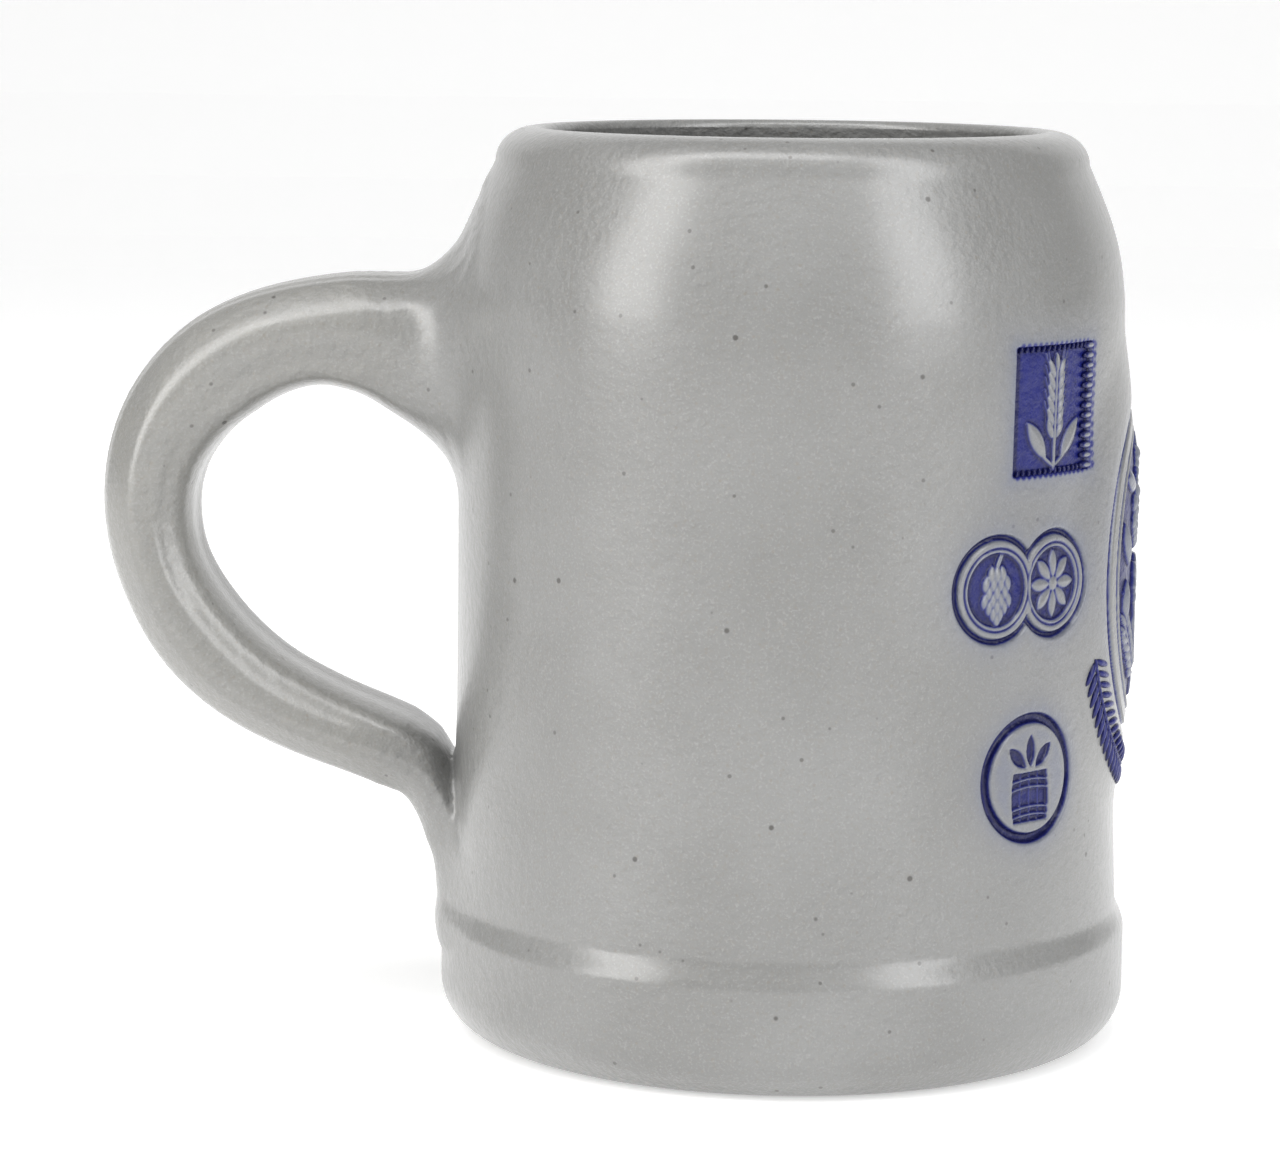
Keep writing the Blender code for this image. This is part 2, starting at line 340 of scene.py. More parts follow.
def new_group(name, inputs, result):
    """A geometry node group with its inputs, each with its kind, and one result."""
    group = bpy.data.node_groups.new(name, "GeometryNodeTree")
    face = group.interface
    for key, kind in inputs.items():
        face.new_socket(key, in_out="INPUT", socket_type="NodeSocket" + kind)
    face.new_socket(result, in_out="OUTPUT", socket_type="NodeSocketGeometry")
    source = group.nodes.new("NodeGroupInput").outputs
    return group, Tree(group.nodes, group.links), source


def lathe_tree():
    """Turns a row of profile points (radius on X, height on Z) round the Z axis."""
    group, t, source = new_group(
        "turn_on_wheel",
        {"Profile": "Geometry", "Segments": "Int", "Rows": "Int", "Material": "Material"},
        "Body",
    )
    segments, rows = Wire(t, source["Segments"]), Wire(t, source["Rows"])
    sheet = t.node(
        "GeometryNodeMeshGrid", (),
        {"Size X": 1.0, "Size Y": 1.0, "Vertices X": segments + 1, "Vertices Y": rows},
    )
    place = t.node("GeometryNodeInputPosition")
    split = t.node("ShaderNodeSeparateXYZ", (), {0: place})
    along = Wire(t, split.socket.node.outputs["X"])
    up = Wire(t, split.socket.node.outputs["Y"])
    row = ((up + 0.5) * (rows - 1)).rounded()
    point = t.node(
        "GeometryNodeSampleIndex", {"data_type": "FLOAT_VECTOR"},
        {"Geometry": source["Profile"], "Value": place, "Index": row},
    )
    section = t.node("ShaderNodeSeparateXYZ", (), {0: point}).socket.node
    radius = Wire(t, section.outputs["X"])
    turn = (along + 0.5) * math.tau
    ring = t.node(
        "ShaderNodeCombineXYZ", (),
        {"X": radius * turn.cos(), "Y": radius * turn.sin(), "Z": section.outputs["Z"]},
    )
    turned = t.node("GeometryNodeSetPosition", (), {"Geometry": sheet, "Position": ring})
    merged = t.node("GeometryNodeMergeByDistance", (),
                    {"Geometry": turned, "Distance": 1e-6})
    real = t.node("GeometryNodeRealizeInstances", (), {"Geometry": merged})
    done = t.node("GeometryNodeSetMaterial", (),
                  {"Geometry": real, "Material": source["Material"]})
    sink = group.nodes.new("NodeGroupOutput")
    group.links.new(done.socket, sink.inputs["Body"])
    return group


def add_object(name, data):
    """Puts a mesh, a light or a camera in the scene."""
    made = bpy.data.objects.new(name, data)
    bpy.context.scene.collection.objects.link(made)
    return made


def new_object(name, verts, faces=(), edges=()):
    mesh = bpy.data.meshes.new(name)
    mesh.from_pydata([tuple(v) for v in verts], list(edges), [tuple(f) for f in faces])
    return add_object(name, mesh)


def grow(seed, name, tree, inputs):
    """Runs a node tree on an object and keeps the result as a plain mesh piece."""
    modifier = seed.modifiers.new(tree.name, "NODES")
    modifier.node_group = tree
    for item in tree.interface.items_tree:
        if item.item_type == "SOCKET" and item.in_out == "INPUT" and item.name in inputs:
            modifier[item.identifier] = inputs[item.name]
    graph = bpy.context.evaluated_depsgraph_get()
    mesh = bpy.data.meshes.new_from_object(seed.evaluated_get(graph))
    seed.modifiers.remove(modifier)
    bpy.data.objects.remove(seed)
    mesh.name = name
    return add_object(name, mesh)


def face_out(piece):
    bm = bmesh.new()
    bm.from_mesh(piece.data)
    bmesh.ops.recalc_face_normals(bm, faces=bm.faces)
    bm.to_mesh(piece.data)
    bm.free()
    piece.data.shade_smooth()


def paint(piece, values):
    """Keeps how much cobalt lies at each point, for the glaze to read.

    Round the emblems' sown grains it also holds a ring of painted shade.
    """
    layer = piece.data.attributes.new("cobalt", "FLOAT", "POINT")
    layer.data.foreach_set("value", np.asarray(values, np.float32))


def points_of(piece):
    """A piece's points in mm."""
    co = np.zeros(len(piece.data.vertices) * 3)
    piece.data.vertices.foreach_get("co", co)
    return co.reshape(-1, 3) / MM


def move_points(piece, points):
    piece.data.vertices.foreach_set("co", (np.asarray(points) * MM).ravel())
    piece.data.update()


CLAY_GREY = (0.18, 0.181, 0.177, 1.0)
CLAY_PALE = (0.2, 0.201, 0.197, 1.0)
CLAY_DARK = (0.165, 0.165, 0.16, 1.0)
CLAY_WARM = (0.202, 0.2, 0.188, 1.0)
GRAIN_LIGHT = (0.28, 0.28, 0.275, 1.0)
FLECK_BROWN = (0.17, 0.145, 0.11, 1.0)
SPECK_IRON = (0.04, 0.036, 0.032, 1.0)
COBALT_HAZE = (0.12, 0.132, 0.18, 1.0)
COBALT_MID = (0.009, 0.013, 0.135, 1.0)
COBALT_DEEP = (0.004, 0.005, 0.05, 1.0)


def salt_glaze(name):
    """Grey stoneware under salt glaze, blue where the cobalt attribute says."""
    material = bpy.data.materials.new(name)
    material.use_nodes = True
    shader = material.node_tree.nodes["Principled BSDF"]
    t = Tree(material.node_tree.nodes, material.node_tree.links)
    coords = t.node("ShaderNodeTexCoord", output=3)

    def noise(scale, detail=2.0, roughness=0.5):
        return t.node(
            "ShaderNodeTexNoise", {"noise_dimensions": "3D"},
            {"Vector": coords, "Scale": scale, "Detail": detail, "Roughness": roughness},
        )

    def blend(factor, a, b):
        return t.node("ShaderNodeMix", {"data_type": "RGBA"},
                      {0: factor, 6: a, 7: b}, output=2)

    def specks(scale, size, share):
        cells = t.node("ShaderNodeTexVoronoi", {"feature": "F1"},
                       {"Vector": coords, "Scale": scale, "Randomness": 1.0})
        node = cells.socket.node
        pick = t.node("ShaderNodeSeparateColor", (), {0: node.outputs["Color"]})
        chosen = Wire(t, pick.socket).step(1.0 - share, 1.001 - share)
        return (1 - cells.step(size * 0.5, size)) * chosen

    cobalt = Wire(t, t.node("ShaderNodeAttribute", {"attribute_name": "cobalt"})
                  .socket.node.outputs["Fac"])
    mottle = noise(38.0, 2.0, 0.5)
    grain = noise(3000.0, 1.0, 0.5)
    colour = blend(mottle.step(0.3, 0.7), CLAY_DARK, CLAY_PALE)
    split = t.node("ShaderNodeSeparateXYZ", (), {0: coords})
    colour = blend(split.step(-0.046, -0.06), colour, CLAY_WARM)
    colour = blend(noise(220.0, 3.0).step(0.2, 0.9) * 0.5, colour, CLAY_GREY)
    colour = blend(grain.step(0.5, 0.8) * 0.4, colour, GRAIN_LIGHT)
    colour = blend(noise(2200.0, 1.0).step(0.5, 0.25) * 0.18, colour, FLECK_BROWN)
    colour = blend(specks(700.0, 0.2, 0.3) * 0.3, colour, FLECK_BROWN)
    colour = blend(specks(330.0, 0.12, 0.3) * 0.6, colour, SPECK_IRON)
    colour = blend(specks(170.0, 0.085, 0.3) * 0.85, colour, SPECK_IRON)
    ragged = (noise(700.0, 3.0, 0.6) - 0.5) * 0.22 * cobalt.step(0.02, 0.3)
    ink = cobalt + ragged
    colour = blend(ink.step(0.0, 0.42), colour, COBALT_HAZE)
    colour = blend(ink.step(0.3, 0.72), colour, COBALT_MID)
    colour = blend(ink.step(0.62, 1.0), colour, COBALT_DEEP)
    t.links.new(colour.socket, shader.inputs["Base Color"])
    rough = 0.42 + (mottle - 0.5) * 0.1 + (grain - 0.5) * 0.12 - cobalt.step(0.3, 0.9) * 0.1
    t.links.new(rough.socket, shader.inputs["Roughness"])
    coat = 1.0 - cobalt.step(0.25, 0.75) * 0.75
    t.links.new(coat.socket, shader.inputs["Coat Weight"])
    relief = noise(780.0, 1.5, 0.45) * 1.3 + noise(300.0, 2.0) * 0.5 + grain * 0.35
    bump = t.node("ShaderNodeBump", (),
                  {"Strength": 0.8, "Distance": 0.00036, "Height": relief})
    t.links.new(bump.socket, shader.inputs["Normal"])
    shader.inputs["Coat Roughness"].default_value = 0.26
    shader.inputs["Specular IOR Level"].default_value = 0.22
    return material


profile = body_profile()
body_glaze = salt_glaze("salt_glazed_stoneware")
seed = new_object(
    "body_profile",
    [(r * MM, 0.0, z * MM) for r, z in profile],
    edges=[(i, i + 1) for i in range(len(profile) - 1)],
)
body = grow(
    seed, "turned_body", lathe_tree(),
    {"Segments": SEGMENTS, "Rows": len(profile), "Material": body_glaze},
)
pts = points_of(body)
theta = np.degrees(np.arctan2(pts[:, 1], pts[:, 0]))
radius = np.hypot(pts[:, 0], pts[:, 1])
outside = (pts[:, 2] > STEP_TOP) & (radius > wall_radius(pts[:, 2]) - 1.0) & (
    pts[:, 2] < 120.0)
shift = boss(theta, pts[:, 2])
for centre, height, gap in EMBLEMS.values():
    u, v = on_wall(theta, pts[:, 2], centre, height)
    here = np.abs(angle_gap(theta, centre)) < 80
    edge = smooth_step((POCKET_EDGE[0] - gap(u, v)) / (POCKET_EDGE[0] - POCKET_EDGE[1]))
    shift = shift - np.where(here, POCKET_DEPTH * edge, 0.0)
factor = np.where(outside, (radius + shift) / np.maximum(radius, 1e-6), 1.0)
pts[:, 0] *= factor
pts[:, 1] *= factor
move_points(body, pts)
face_out(body)
paint(body, np.where(radius > wall_radius(pts[:, 2]) - 1.0, haze(theta, pts[:, 2]), 0.0))
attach(body, "root")
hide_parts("body")

# ------------------------------------------------------------------ the strap handle
# A pulled strap of the same clay, wet-grooved along its crown, luted to the wall with
# slip at its broad upper root and along its lower tail, and smoothed in by thumb.

HANDLE_WIDTH = 22.0
# Outer edge (reach, height), inner edge (reach, height) and width along the strap.
HANDLE_STATIONS = (
    ((38.0, 108.6), (38.0, 79.6), 27.0),
    ((44.0, 107.6), (44.5, 80.8), 26.0),
    ((51.0, 106.5), (52.0, 84.2), 23.0),
    ((58.5, 105.4), (58.8, 88.5), HANDLE_WIDTH),
    ((67.5, 104.2), (65.0, 89.7), HANDLE_WIDTH),
    ((77.6, 101.4), (71.4, 87.5), HANDLE_WIDTH),
    ((86.7, 95.5), (77.3, 82.8), HANDLE_WIDTH),
    ((93.0, 86.6), (81.1, 77.2), HANDLE_WIDTH),
    ((95.6, 75.8), (82.2, 71.1), HANDLE_WIDTH),
    ((94.4, 64.4), (80.7, 64.1), HANDLE_WIDTH),
    ((89.2, 52.4), (76.1, 57.7), HANDLE_WIDTH),
    ((80.6, 43.7), (69.6, 51.9), HANDLE_WIDTH),
    ((70.6, 38.4), (61.7, 47.6), HANDLE_WIDTH),
    ((61.0, 35.0), (54.6, 44.5), HANDLE_WIDTH),
    ((54.6, 32.8), (49.4, 41.2), HANDLE_WIDTH),
    ((51.5, 29.8), (46.2, 36.2), 22.5),
    ((49.7, 25.8), (43.6, 29.5), 24.0),
    ((48.0, 21.5), (41.5, 23.5), 26.0),
    ((46.8, 16.5), (40.0, 17.5), 28.0),
    ((45.0, 11.0), (38.0, 11.0), 28.0),
)
SQUARENESS = 3.1
CHAMFER = 4.7
GRID_STEP = 0.5
GRID_LOW = (-97.0, -31.0, -2.0)
GRID_HIGH = (-26.0, 31.0, 127.0)
TAIL_END = 14.0
# How softly the strap runs into the wall: heights and fillet sizes, mm.
FILLET_HEIGHTS = (12.0, 20.0, 28.0, 35.0, 46.0, 62.0, 84.0)
FILLET_SIZES = (6.0, 5.5, 2.2, 1.4, 1.6, 5.0, 8.0)


def smooth_curve(points, steps):
    """Catmull-Rom curve through rows of numbers, ends kept."""
    p = np.array([points[0], *points, points[-1]], float)
    t = np.arange(steps)[:, None] / steps
    rows = [
        0.5 * (2 * p[i] + (p[i + 1] - p[i - 1]) * t
               + (2 * p[i - 1] - 5 * p[i] + 4 * p[i + 1] - p[i + 2]) * t**2
               + (3 * p[i] - 3 * p[i + 1] + p[i + 2] - p[i - 1]) * t**3)
        for i in range(1, len(p) - 2)
    ]
    return np.vstack(rows + [p[-2:-1]])


def ease(rows, reach):
    """Evens out small kinks along a curve, its ends kept."""
    k = np.arange(-3 * reach, 3 * reach + 1)
    weights = np.exp(-0.5 * (k / reach) ** 2)
    weights /= weights.sum()
    n = 3 * reach
    before = 2 * rows[0] - rows[n:0:-1]
    after = 2 * rows[-1] - rows[-2:-n - 2:-1]
    longer = np.vstack([before, rows, after])
    return sum(w * longer[i:i + len(rows)] for i, w in enumerate(weights))


def strap_course():
    """Outer and inner edges and width along the strap, in small even steps."""
    columns = ([s[0] for s in HANDLE_STATIONS], [s[1] for s in HANDLE_STATIONS],
               [(s[2],) for s in HANDLE_STATIONS])
    return [ease(smooth_curve(column, 14), 4) for column in columns]


def strap_place(reach, height):
    """For places in the handle's own plane: how far out from the strap's middle line they
    lie, half the strap's thickness and its width there, and how far past its ends."""
    outer, inner, widths = strap_course()
    middle, half = (outer + inner) / 2, (outer - inner) / 2
    plane = np.stack((reach, height), -1)[:, None, :]
    start, run = middle[:-1], np.diff(middle, axis=0)
    t = ((plane - start) * run).sum(-1) / (run**2).sum(-1)
    t = np.clip(t, 0.0, 1.0)
    gap = np.hypot(*np.moveaxis(plane - start - t[..., None] * run, -1, 0))
    best = gap.argmin(1)
    t = t[np.arange(len(best)), best][:, None]
    arm = half[best] * (1 - t) + half[best + 1] * t
    width = widths[best, 0] * (1 - t[:, 0]) + widths[best + 1, 0] * t[:, 0]
    thick = np.hypot(arm[:, 0], arm[:, 1])
    side = plane[:, 0] - start[best] - t * run[best]
    away = (side * arm).sum(1) / thick
    slip = side - away[:, None] * arm / thick[:, None]
    return away, thick, width, np.hypot(slip[:, 0], slip[:, 1])


def strap_field(reach, across, height):
    """Distance-like value of the strap on a grid: below 0 inside it."""
    flat = np.meshgrid(reach, height, indexing="ij")
    parts = strap_place(flat[0].ravel(), flat[1].ravel())
    away, thick, width, beyond = (a.reshape(len(reach), 1, len(height)) for a in parts)
    y = np.abs(across)[None, :, None]
    size = ((np.abs(away / thick) ** SQUARENESS + (2 * y / width) ** SQUARENESS)
            ** (1 / SQUARENESS))
    value = (size - 1.0) * np.minimum(thick, width / 2)
    shoulder = (away + y - (thick + width / 2 - CHAMFER)) / math.sqrt(2)
    both = np.maximum(1.2 - np.abs(value - shoulder), 0.0)
    value = np.maximum(value, shoulder) + both**2 / 4.8
    return value + 0.7 * np.maximum(beyond - 0.6, 0.0)


def strap_marks(reach, y, height):
    """How deep the tool and finger marks are at places on the strap's skin, in mm."""
    away, thick, width, _ = strap_place(reach, height)
    n, m = away / thick, np.abs(2 * y / width)
    crown = smooth_step((n - 0.45) / 0.4) * (1 - 0.7 * smooth_step((m - 0.6) / 0.3))
    flank = smooth_step((m - 0.55) / 0.3)
    under = smooth_step((-n - 0.45) / 0.4)
    grooves = 0.25 * np.exp(-(((np.abs(y) - 5.2) / 0.9) ** 2))
    grooves = grooves + 0.2 * np.exp(-(((np.abs(y) - 1.8) / 1.2) ** 2))
    hollow = 0.45 * np.exp(-(((n + 0.42) / 0.22) ** 2))
    hollow = hollow - 0.15 * np.exp(-(((n + 0.75) / 0.2) ** 2))
    ledge = -0.2 * np.exp(-(((n - 0.12) / 0.22) ** 2))
    thumbed = 0.3 * np.exp(-((y / 4.0) ** 2))
    return crown * grooves + flank * (hollow + ledge) + under * thumbed


def surface_net(field, low, step):
    """A closed quad surface at the field's zero, one point for each crossed cell."""
    inside = field < 0
    cells = tuple(n - 1 for n in field.shape)
    total, count = np.zeros(cells + (3,)), np.zeros(cells)
    for axis in range(3):
        others = [a for a in range(3) if a != axis]
        for p in (0, 1):
            for q in (0, 1):
                start = [slice(0, c) for c in cells]
                end = list(start)
                end[axis] = slice(1, cells[axis] + 1)
                for a, o in zip(others, (p, q)):
                    start[a] = end[a] = slice(o, cells[a] + o)
                fa, fb = field[tuple(start)], field[tuple(end)]
                crossed = (fa < 0) != (fb < 0)
                spot = np.zeros(cells + (3,))
                spot[..., others[0]], spot[..., others[1]] = p, q
                spot[..., axis] = np.where(crossed, fa / np.where(fa == fb, 1, fa - fb), 0)
                total += np.where(crossed[..., None], spot, 0.0)
                count += crossed
    used = count > 0
    number = np.full(cells, -1)
    number[used] = np.arange(used.sum())
    where = np.argwhere(used) + total[used] / count[used][:, None]
    faces = []
    for axis in range(3):
        b, c = (axis + 1) % 3, (axis + 2) % 3
        first = np.moveaxis(inside, (axis, b, c), (0, 1, 2))
        cell = np.moveaxis(number, (axis, b, c), (0, 1, 2))
        change = first[:-1, 1:-1, 1:-1] != first[1:, 1:-1, 1:-1]
        i, j, k = np.argwhere(change).T
        ring = np.stack([cell[i, j, k], cell[i, j + 1, k],
                         cell[i, j + 1, k + 1], cell[i, j, k + 1]], 1)
        flip = ~first[i, j + 1, k + 1]
        ring[flip] = ring[flip][:, ::-1]
        faces.append(ring)
    return where * step + np.array(low), np.vstack(faces)


def read_field(field, points, low, step):
    """The field's value between grid points."""
    g = (points - np.array(low)) / step
    g = np.clip(g, 0, np.array(field.shape) - 1.001)
    i = g.astype(int)
    f = g - i
    value = 0.0
    for dx in (0, 1):
        for dy in (0, 1):
            for dz in (0, 1):
                w = (np.abs(1 - dx - f[:, 0]) * np.abs(1 - dy - f[:, 1])
                     * np.abs(1 - dz - f[:, 2]))
                value = value + w * field[i[:, 0] + dx, i[:, 1] + dy, i[:, 2] + dz]
    return value


axes = [np.arange(a, b + GRID_STEP / 2, GRID_STEP) for a, b in zip(GRID_LOW, GRID_HIGH)]
strap = strap_field(-axes[0], axes[1], axes[2])
slope = np.gradient(strap, GRID_STEP)
strap = strap / np.clip(np.sqrt(slope[0] ** 2 + slope[1] ** 2 + slope[2] ** 2), 0.35, 2.0)
x, y, z = np.meshgrid(*axes, indexing="ij")
wall = np.hypot(x, y) - wall_radius(z)
lean = (wall_radius(z + 0.2) - wall_radius(z - 0.2)) / 0.4
wall = wall / np.sqrt(1 + lean**2)
fillet = np.interp(z, FILLET_HEIGHTS, FILLET_SIZES)
overlap = np.maximum(fillet - np.abs(strap - wall), 0.0)
joined = np.minimum(strap, wall) - overlap**2 / (4 * fillet)
fade = np.maximum(strap - fillet, 0.0) / 4.5 + np.maximum(TAIL_END - z, 0.0) / 4.0
handle_field = np.maximum(joined - 0.02 + fade**2, -(wall + 2.0))
for axis in range(3):
    edge = np.moveaxis(handle_field, axis, 0)
    edge[0], edge[-1] = 1.0, 1.0
points, faces = surface_net(handle_field, GRID_LOW, GRID_STEP)
for _ in range(3):
    nudge = 0.25
    here = read_field(handle_field, points, GRID_LOW, GRID_STEP)
    slope = np.stack(
        [read_field(handle_field, points + step, GRID_LOW, GRID_STEP)
         - read_field(handle_field, points - step, GRID_LOW, GRID_STEP)
         for step in np.eye(3) * nudge], 1) / (2 * nudge)
    steep = np.maximum((slope**2).sum(1), 0.2)
    points = points - 0.8 * slope * np.clip(here / steep, -0.3, 0.3)[:, None]
out = slope / np.sqrt((slope**2).sum(1) + 1e-9)[:, None]
clear = np.hypot(points[:, 0], points[:, 1]) - wall_radius(points[:, 2])
depth = strap_marks(-points[:, 0], points[:, 1], points[:, 2])
points = points - out * (depth * smooth_step((clear - 2.0) / 10.0))[:, None]
handle = new_object("strap_handle", points * MM, faces)
face_out(handle)
handle.data.materials.append(body_glaze)
paint(handle, np.zeros(len(points)))
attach(handle, "root")
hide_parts("handle", "upper_slip_joint", "lower_slip_joint")

# ------------------------------------------------------------------ the near emblems
# Three small seals pressed into the wall beside the centre emblem: a serrated square
# with a barley ear, two linked roundels with a hop cone and a rosette, and a round with
# a barrel. Cobalt brushed over them pools in the low places and wipes off the high ones.
# Round the foot of each sown grain, a ring of deep cobalt colour is painted as shade.

# Each emblem is a patch laid a hair above the wall; its edge is feathered down into it.
FACE_LIFT = 0.01
FEATHER = 2.0
FEATHER_DROP = 0.05
PATCH_MARGIN = 4.2
PATCH_THICKNESS = 0.7
PLAIN_SPAN = (9, 9)
WIDER_SPANS = {"emblem_twin": (12.6, 7.2), "emblem_centre": CENTRE_HALF}
# Wet clay softens the art, and colour pools where it is lower than its surroundings.
ART_SOFTNESS = 0.07
BRUSH_SOFTNESS = 0.09
POOL_REACH = (0.22, 0.6)
POOL_STRENGTH = (3.2, 0.9)
POOL_LIMITS = (-0.1, 0.75)
WIPED_OFF = 0.68
# Painted shade round the foot of each sown grain: how dark a ring of deep cobalt colour it
# lays on the ground, and how far it reaches in mm.
FOOT_SHADE = 0.7
FOOT_SHADE_REACH = 0.45
PETALS = 8


def segment_gap(u, v, a, b):
    """Distance from a straight stroke between two places."""
    a, b = np.array(a, float), np.array(b, float)
    run = b - a
    t = ((u - a[0]) * run[0] + (v - a[1]) * run[1]) / max(run @ run, 1e-9)
    t = np.clip(t, 0.0, 1.0)
    return np.hypot(u - a[0] - t * run[0], v - a[1] - t * run[1])


def mask(gap, edge=0.25):
    """1 inside a shape, 0 outside, soft over the edge."""
    return smooth_step(0.5 - gap / edge)


def turned(u, v, place, angle):
    """Coordinates along and across a small shape laid at a place and an angle."""
    a = math.radians(angle)
    x, y = u - place[0], v - place[1]
    return x * math.cos(a) + y * math.sin(a), y * math.cos(a) - x * math.sin(a)


def leaf_dome(u, v, place, angle, length, width):
    """A pointed oval swelling, 1 at its middle."""
    x, y = turned(u, v, place, angle)
    reach = (length**2 - width**2) / (4 * width)
    gap = np.hypot(x, np.abs(y) + reach) - reach - width / 2
    return np.sqrt(np.clip(-gap / (width / 2), 0.0, 1.0))


def barley_ear(u, v, root, angle, length, rise=1.0):
    """A stem, paired grains and awns; the swelling is at most rise."""
    a = math.radians(angle)
    ahead = np.array((math.cos(a), math.sin(a)))
    across = np.array((-ahead[1], ahead[0]))
    root = np.array(root, float)
    tip = root + ahead * length
    size = length / 14.0
    top = 0.55 * mask(segment_gap(u, v, root, tip - ahead * size) - 0.28 * size, 0.3)
    for k in range(6):
        spot = root + ahead * (length * 0.36 + k * 1.45 * size)
        for way in (-1, 1):
            place = spot + across * way * 0.95 * size
            lean = angle + way * 24
            top = np.maximum(top, leaf_dome(u, v, place, lean, 2.9 * size, 1.25 * size))
            r = math.radians(lean - way * 6)
            end = place + np.array((math.cos(r), math.sin(r))) * 3.6 * size
            top = np.maximum(top, 0.45 * mask(segment_gap(u, v, place, end) - 0.1, 0.2))
    top = np.maximum(top, leaf_dome(u, v, tip - ahead * size, angle, 2.8 * size, size))
    return rise * top


def hop_cone(u, v, place, size, rise=1.0):
    """Overlapping scales in an egg-shaped cone hanging point down, with its stalk."""
    top = np.zeros(np.shape(u))
    rows = ((3, 0.95, 0.0), (4, 0.55, 0.05), (3, 0.15, 0.1), (4, -0.2, 0.12),
            (3, -0.5, 0.16), (2, -0.8, 0.2), (1, -1.1, 0.24))
    for number, level, drop in reversed(rows):
        spread = 0.42 * math.sqrt(max(1.15 - (level * 0.75 + 0.05) ** 2, 0.1))
        for k in range(number):
            off = (k - (number - 1) / 2) * spread
            spot = (place[0] + off * size, place[1] + (level - 0.15) * size)
            scale = leaf_dome(u, v, spot, -90 + off * 22, 0.95 * size, 0.56 * size)
            high = scale * (1.0 - 0.35 * abs(off)) * (1 - drop)
            top = np.maximum(top, high)
    start = (place[0], place[1] + 1.2 * size)
    end = (place[0] + 0.25 * size, place[1] + 1.75 * size)
    top = np.maximum(top, 0.6 * mask(segment_gap(u, v, start, end) - 0.13 * size, 0.25))
    return rise * top


def rosette(u, v, place, size):
    top = np.zeros(np.shape(u))
    for k in range(PETALS):
        a = 360.0 * k / PETALS + 90
        r = math.radians(a)
        spot = (place[0] + 0.58 * size * math.cos(r), place[1] + 0.58 * size * math.sin(r))
        top = np.maximum(top, leaf_dome(u, v, spot, a, 0.95 * size, 0.46 * size))
    middle = 1 - (np.hypot(u - place[0], v - place[1]) / (0.24 * size)) ** 2
    return np.maximum(top, np.sqrt(np.clip(middle, 0, 1)))


def barrel(u, v, place, wide, tall):
    """A cask seen from the side: gap outside it, and how deep its joints are."""
    x, y = u - place[0], v - place[1]
    half = wide / 2 * (1 - 0.35 * (y / tall) ** 2)
    gap = np.maximum(np.abs(x) - half, np.abs(y) - tall / 2)
    joints = np.zeros(np.shape(u))
    for level in (-0.36, -0.2, 0.2, 0.36):
        joints = np.maximum(joints, mask(np.abs(y - level * tall + 0.03 * x * x) - 0.12))
    for off in (-0.5, 0.0, 0.5):
        joints = np.maximum(joints, 0.6 * mask(np.abs(x - off * half) - 0.08, 0.2))
    return gap, joints


def soften(grid, reach):
    """Averages a height map over about reach steps each way."""
    n = max(int(round(reach * 2.5)), 1)
    weights = np.exp(-0.5 * (np.arange(-n, n + 1) / reach) ** 2)
    weights /= weights.sum()
    for axis in (0, 1):
        padded = np.pad(grid, [(n, n) if a == axis else (0, 0) for a in (0, 1)], "edge")
        size = grid.shape[axis]
        grid = sum(
            w * np.take(padded, range(k, k + size), axis) for k, w in enumerate(weights)
        )
    return grid


def wrap(theta_0, z_0, u, v, lift):
    """Lays flat places and heights on the swollen wall round an emblem's centre."""
    theta = theta_0 + np.degrees(u / TURN_RADIUS)
    z = z_0 + v
    r = wall_radius(z) + boss(theta, z) + lift
    a = np.radians(theta)
    return np.stack((r * np.cos(a), r * np.sin(a), z), -1)


def ornament_tree():
    """Sets small rounded grains along a path, leaning by an angle to it."""
    sizes = dict.fromkeys(("Pitch", "Length", "Width", "Rise", "Lean"), "Float")
    group, t, source = new_group(
        "grains_on_path", {"Path": "Geometry", **sizes, "Material": "Material"}, "Grains")
    curve = t.node("GeometryNodeMeshToCurve", (), {0: source["Path"]})
    spaced = t.node("GeometryNodeResampleCurve", {"mode": "LENGTH"},
                    {"Curve": curve, "Length": source["Pitch"]})
    ball = t.node("GeometryNodeMeshUVSphere", (),
                  {"Segments": 12, "Rings": 8, "Radius": 0.5})
    tall = Wire(t, source["Rise"]) * 2.0
    size = t.node("ShaderNodeCombineXYZ", (),
                  {"X": source["Length"], "Y": source["Width"], "Z": tall})
    grain = t.node("GeometryNodeTransform", (), {"Geometry": ball, "Scale": size})
    run = t.node("GeometryNodeInputTangent")
    along = t.node("FunctionNodeAlignRotationToVector", {"axis": "X"}, {"Vector": run})
    turn = t.node("ShaderNodeCombineXYZ", (), {"Z": source["Lean"]})
    lean = t.node("FunctionNodeEulerToRotation", (), {0: turn})
    laid = t.node("FunctionNodeRotateRotation", {"rotation_space": "LOCAL"},
                  {"Rotation": along, "Rotate By": lean})
    sown = t.node("GeometryNodeInstanceOnPoints", (),
                  {"Points": spaced, "Instance": grain, "Rotation": laid})
    real = t.node("GeometryNodeRealizeInstances", (), {"Geometry": sown})
    done = t.node("GeometryNodeSetMaterial", (),
                  {"Geometry": real, "Material": source["Material"]})
    sink = group.nodes.new("NodeGroupOutput")
    group.links.new(done.socket, sink.inputs["Grains"])
    return group


grains_on_path = ornament_tree()


